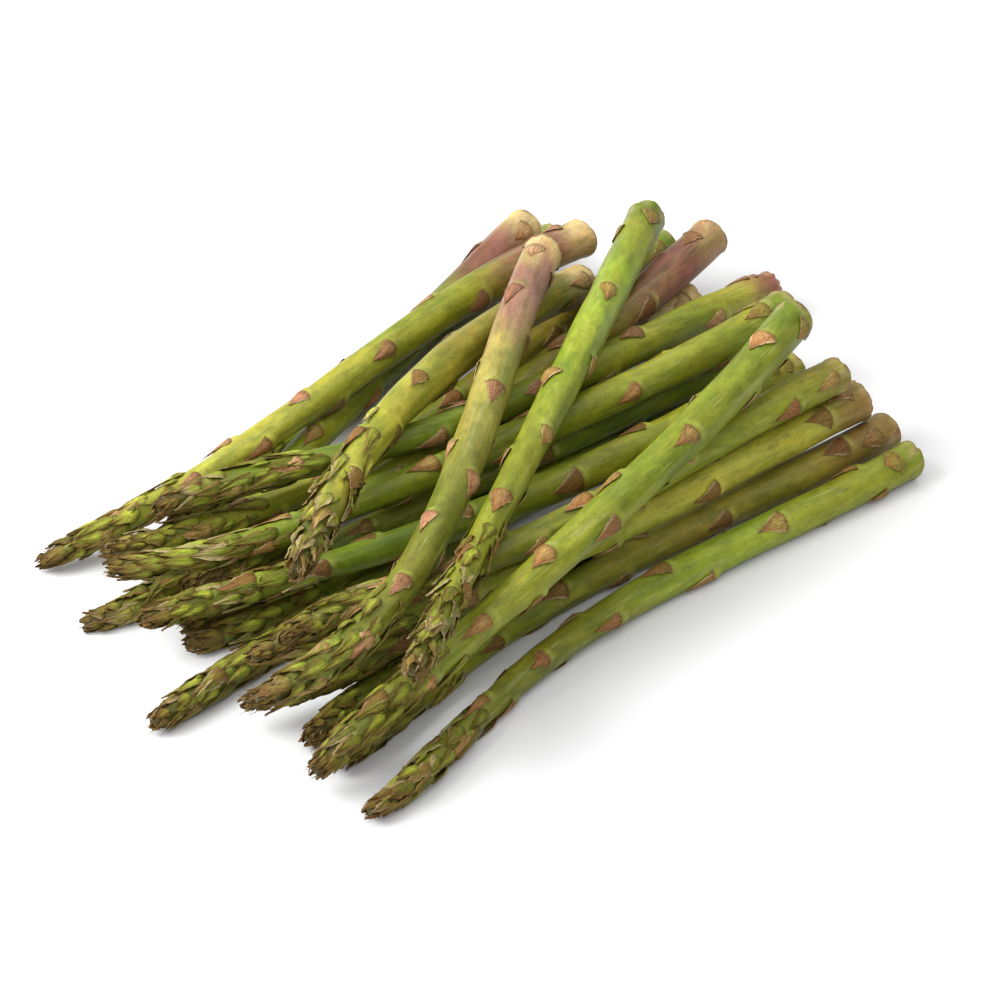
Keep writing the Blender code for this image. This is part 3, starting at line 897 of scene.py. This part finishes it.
def skin_material(name, palette, roughness):
    """Waxy skin: the tint, mottled and streaked along the spear, with bruises, specks, pale
    scratches and pale waxy patches that are partly bloom and partly painted sheen. Scales have fine
    veins and are duller, and what is dry is dull and rough. On the cut, where leaf is negative, the
    flesh has darker dots."""
    graph = Graph(bpy.data.materials.new(name))
    where = graph.attribute("fibre", "Vector")
    tint = graph.attribute("tint", "Color")
    kind, dry = graph.number("leaf"), graph.number("dry")
    leaf, cut = kind.held(), (0.0 - kind).held()
    bare = (1.0 - leaf - cut).held()

    def drawn_out(along):
        """The place in the skin, with patterns drawn out along the spear by a small factor."""
        return graph.vector("MULTIPLY", where, (1, 1, along))

    def noise(along, scale, detail=2.0, roughness=0.5):
        sockets = {"Vector": drawn_out(along), "Scale": scale, "Detail": detail,
                   "Roughness": roughness}
        return Signal(graph, graph.node("TexNoise", {}, sockets, "Fac"))

    def spots(along, scale):
        sockets = {"Vector": drawn_out(along), "Scale": scale}
        return Signal(graph, graph.node("TexVoronoi", {}, sockets, "Distance"))

    mottle = noise(0.45, 0.30, 6.0, 0.72)
    tone = noise(0.25, 0.11)
    streak = noise(0.06, 1.7, 3.0, 0.6)
    vein = noise(0.12, 3.4, 3.0, 0.6)
    grain = noise(1, 2.6, 4.0, 0.65)
    patch = noise(0.45, 0.40, 3.0, 0.7).ramp(0.53, 0.70)
    scratch = noise(0.03, 2.3).ramp(0.60, 0.70) * noise(0.4, 0.17, 1.0).ramp(0.48, 0.62)
    speck = spots(0.6, 0.6).ramp(0.20, 0.08) * noise(1, 0.23, 1.0).ramp(0.42, 0.56)
    # Pale waxy patches: partly the skin's own bloom, partly painted sheen
    wax_and_sheen = noise(0.1, 0.30, 3.0, 0.6).ramp(0.55, 0.76)
    deep = noise(0.3, 0.15).ramp(0.46, 0.66)
    dots = spots(0, 1.1).ramp(0.38, 0.16)

    shade = (mottle - 0.5) * 1.7 + (streak - 0.5) * 0.5 + (grain - 0.5) * 0.6 + 1.05
    skin = graph.mix(1.0, tint, graph.grey(shade), "MULTIPLY")
    for amount_of, times in ((tone.ramp(0.42, 0.64), (1.18, 1.03, 0.88, 1)),
                             (deep, (0.70, 0.82, 0.60, 1))):
        skin = graph.mix((amount_of * bare * 0.8).held(), skin,
                         graph.mix(1.0, skin, times, "MULTIPLY"))
    # The waxy patches first are partly painted sheen; bruises, specks, scratches and dots are the
    # skin's own
    for amount_of, paint in ((wax_and_sheen * bare * 0.18, palette.bloom_and_sheen),
                             (patch * bare * 0.30, palette.bruise),
                             (speck * bare * 0.6, palette.umber),
                             (scratch * bare * 0.28, palette.bloom_and_sheen),
                             (dots * cut * 0.45, palette.head)):
        skin = graph.mix(amount_of.held(), skin, (*paint, 1))
    veins = graph.grey((vein - 0.5) * 2.6 + (grain - 0.5) * 2.0 + 1.0)
    colours = graph.mix(leaf, skin, graph.mix(1.0, tint, veins, "MULTIPLY"))
    stain = (grain.ramp(0.50, 0.64) * dry * 0.7).held()
    colours = graph.mix(stain, colours, (*palette.tip, 1))

    dull = leaf * 0.14 + dry * 0.22 + mottle * 0.2 + grain * 0.12 + cut * 0.2 + (roughness - 0.13)
    relief = streak * 0.2 + grain * (0.2 + dry * 0.8) + vein * (leaf + 0.15) + dots * cut * 0.6
    sockets = {"Strength": 0.8, "Distance": BUMP_HEIGHT, "Height": relief}
    bump = graph.node("Bump", {}, sockets, "Normal")
    sockets = {"Base Color": colours, "Roughness": dull.held(), "Normal": bump, "IOR": WAX_IOR,
               "Specular IOR Level": WAX_SPECULAR}
    return graph.finish(graph.node("BsdfPrincipled", {}, sockets, "BSDF"))


@functools.cache
def lines():
    """All laid spears, worked out once."""
    laid = lay_bundle()
    return [Line(number, laid, frame_shift(laid)) for number in range(len(SPEARS))]


def add_object(name, data):
    """A new object in the scene."""
    made = bpy.data.objects.new(name, data)
    bpy.context.scene.collection.objects.link(made)
    return made


def add_spears(context, group):
    """Builds the fine spears of a group and lets each stand for its solid."""
    palette, shape = context.scene.asparagus_palette, context.scene.asparagus_shape
    for line in lines():
        name, skin = line.spear.name, line.spear.skin
        if line.spear.group != group:
            continue
        makers = (stem_part, leaf_part, bud_part, fibre_part)
        mesh = build_mesh("spear_" + name, [make(line, palette, shape) for make in makers])
        material = bpy.data.materials.get("waxy " + skin)
        if material is None:
            material = skin_material("waxy " + skin, palette, ROUGHNESS[skin])
        mesh.materials.append(material)
        piece = add_object("spear_" + name, mesh)
        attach(piece, "root")
        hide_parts(name)
        "skin_" + skin


class ASPARAGUS_OT_low_spears(bpy.types.Operator):
    """Builds the spears that lie on the table under the others."""
    bl_idname = "asparagus.low_spears"
    bl_label = "Low spears"

    def execute(self, context):
        add_spears(context, "low")
        return {"FINISHED"}


class ASPARAGUS_OT_front_spears(bpy.types.Operator):
    """Builds the two front spears and the two on the right beside them."""
    bl_idname = "asparagus.front_spears"
    bl_label = "Front spears"

    def execute(self, context):
        add_spears(context, "front")
        return {"FINISHED"}


class ASPARAGUS_OT_rear_spears(bpy.types.Operator):
    """Builds the spears of the rear edge."""
    bl_idname = "asparagus.rear_spears"
    bl_label = "Rear spears"

    def execute(self, context):
        add_spears(context, "rear")
        return {"FINISHED"}


class ASPARAGUS_OT_middle_spears(bpy.types.Operator):
    """Builds the spears of the middle."""
    bl_idname = "asparagus.middle_spears"
    bl_label = "Middle spears"

    def execute(self, context):
        add_spears(context, "middle")
        return {"FINISHED"}


class ASPARAGUS_OT_crossing_spears(bpy.types.Operator):
    """Builds the four spears that lie across the others."""
    bl_idname = "asparagus.crossing_spears"
    bl_label = "Crossing spears"

    def execute(self, context):
        add_spears(context, "crossing")
        return {"FINISHED"}


class ASPARAGUS_OT_stage(bpy.types.Operator):
    """Sets the floor, the lights and the camera."""
    bl_idname = "asparagus.stage"
    bl_label = "Stage"

    def execute(self, context):
        stage = context.scene.asparagus_stage
        add_floor(stage.floor_size)
        add_key(stage.key_power, stage.key_size, KEY_PLACE)
        context.scene.world = surround(stage.sky)
        context.scene.view_settings.view_transform = "Standard"
        add_camera(context.scene, stage)
        return {"FINISHED"}


def add_floor(size):
    half = size / 2
    mesh = bpy.data.meshes.new("floor")
    corners = [(-half, -half, 0), (half, -half, 0), (half, half, 0), (-half, half, 0)]
    mesh.from_pydata(corners, [], [(0, 1, 2, 3)])
    graph = Graph(bpy.data.materials.new("floor white"))
    white = graph.node("BsdfDiffuse", {}, {"Color": FLOOR_WHITE}, 0)
    mesh.materials.append(graph.finish(white))
    add_object("floor", mesh)


def surround(strength):
    """White all round, bright overhead and dim near the horizon."""
    graph = Graph(bpy.data.worlds.new("surround"))
    way = graph.node("TexCoord", {}, {}, "Generated")
    toward = Signal(graph, graph.vector("DOT_PRODUCT", way, OVERHEAD, "Value"))
    white = graph.grey(toward.ramp(-0.05, 1.0) * 1.25 + 0.28)
    light = graph.node("Background", {}, {"Color": white, "Strength": strength}, 0)
    return graph.finish(light, "OutputWorld")


def add_key(power, size, place):
    """A square light that faces the middle of the bundle."""
    light = bpy.data.lights.new("key", "AREA")
    light.energy = power
    light.size = size
    thing = add_object("key", light)
    thing.location = place
    thing.rotation_euler = (-thing.location).to_track_quat("-Z", "Y").to_euler()


def add_camera(scene, stage):
    """A camera at the viewing angle, a distance from the point that it looks at."""
    shift = frame_shift(lay_bundle()) * MM
    camera = bpy.data.cameras.new("camera")
    camera.lens = stage.lens
    camera.sensor_width = SENSOR_WIDTH
    thing = add_object("camera", camera)
    a, e = stage.azimuth, stage.elevation
    back = np.array([math.sin(a) * math.cos(e), -math.cos(a) * math.cos(e), math.sin(e)])
    look = np.array([*PLAN_LOOK, 0]) * MM - shift
    thing.location = look + back * stage.distance
    thing.rotation_euler = (math.pi / 2 - e, 0, a)
    scene.camera = thing


class ASPARAGUS_PT_panel(bpy.types.Panel):
    """Lists the operators and the settings."""
    bl_idname = "ASPARAGUS_PT_panel"
    bl_label = "Asparagus bundle"
    bl_space_type = "VIEW_3D"
    bl_region_type = "UI"
    bl_category = "Asparagus"

    def draw(self, context):
        for operator in OPERATORS:
            self.layout.operator(operator.bl_idname)
        for group in (context.scene.asparagus_shape, context.scene.asparagus_palette,
                      context.scene.asparagus_stage):
            box = self.layout.box()
            for name in group.__annotations__:
                box.prop(group, name)


OPERATORS = (ASPARAGUS_OT_low_spears, ASPARAGUS_OT_front_spears, ASPARAGUS_OT_rear_spears,
             ASPARAGUS_OT_middle_spears, ASPARAGUS_OT_crossing_spears, ASPARAGUS_OT_stage)
GROUP_CLASSES = {"asparagus_palette": AsparagusPalette, "asparagus_shape": AsparagusShape,
                 "asparagus_stage": AsparagusStage}


def register():
    for name, group in GROUP_CLASSES.items():
        bpy.utils.register_class(group)
        setattr(bpy.types.Scene, name, bpy.props.PointerProperty(type=group))
    for item in (*OPERATORS, ASPARAGUS_PT_panel):
        bpy.utils.register_class(item)


def unregister():
    for item in (ASPARAGUS_PT_panel, *reversed(OPERATORS)):
        bpy.utils.unregister_class(item)
    for name, group in GROUP_CLASSES.items():
        delattr(bpy.types.Scene, name)
        bpy.utils.unregister_class(group)


def main():
    """Builds every piece and the stage."""
    register()
    bpy.ops.asparagus.low_spears()
    bpy.ops.asparagus.front_spears()
    bpy.ops.asparagus.rear_spears()
    bpy.ops.asparagus.middle_spears()
    bpy.ops.asparagus.crossing_spears()
    bpy.ops.asparagus.stage()
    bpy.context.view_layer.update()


if __name__ == "__main__":
    main()
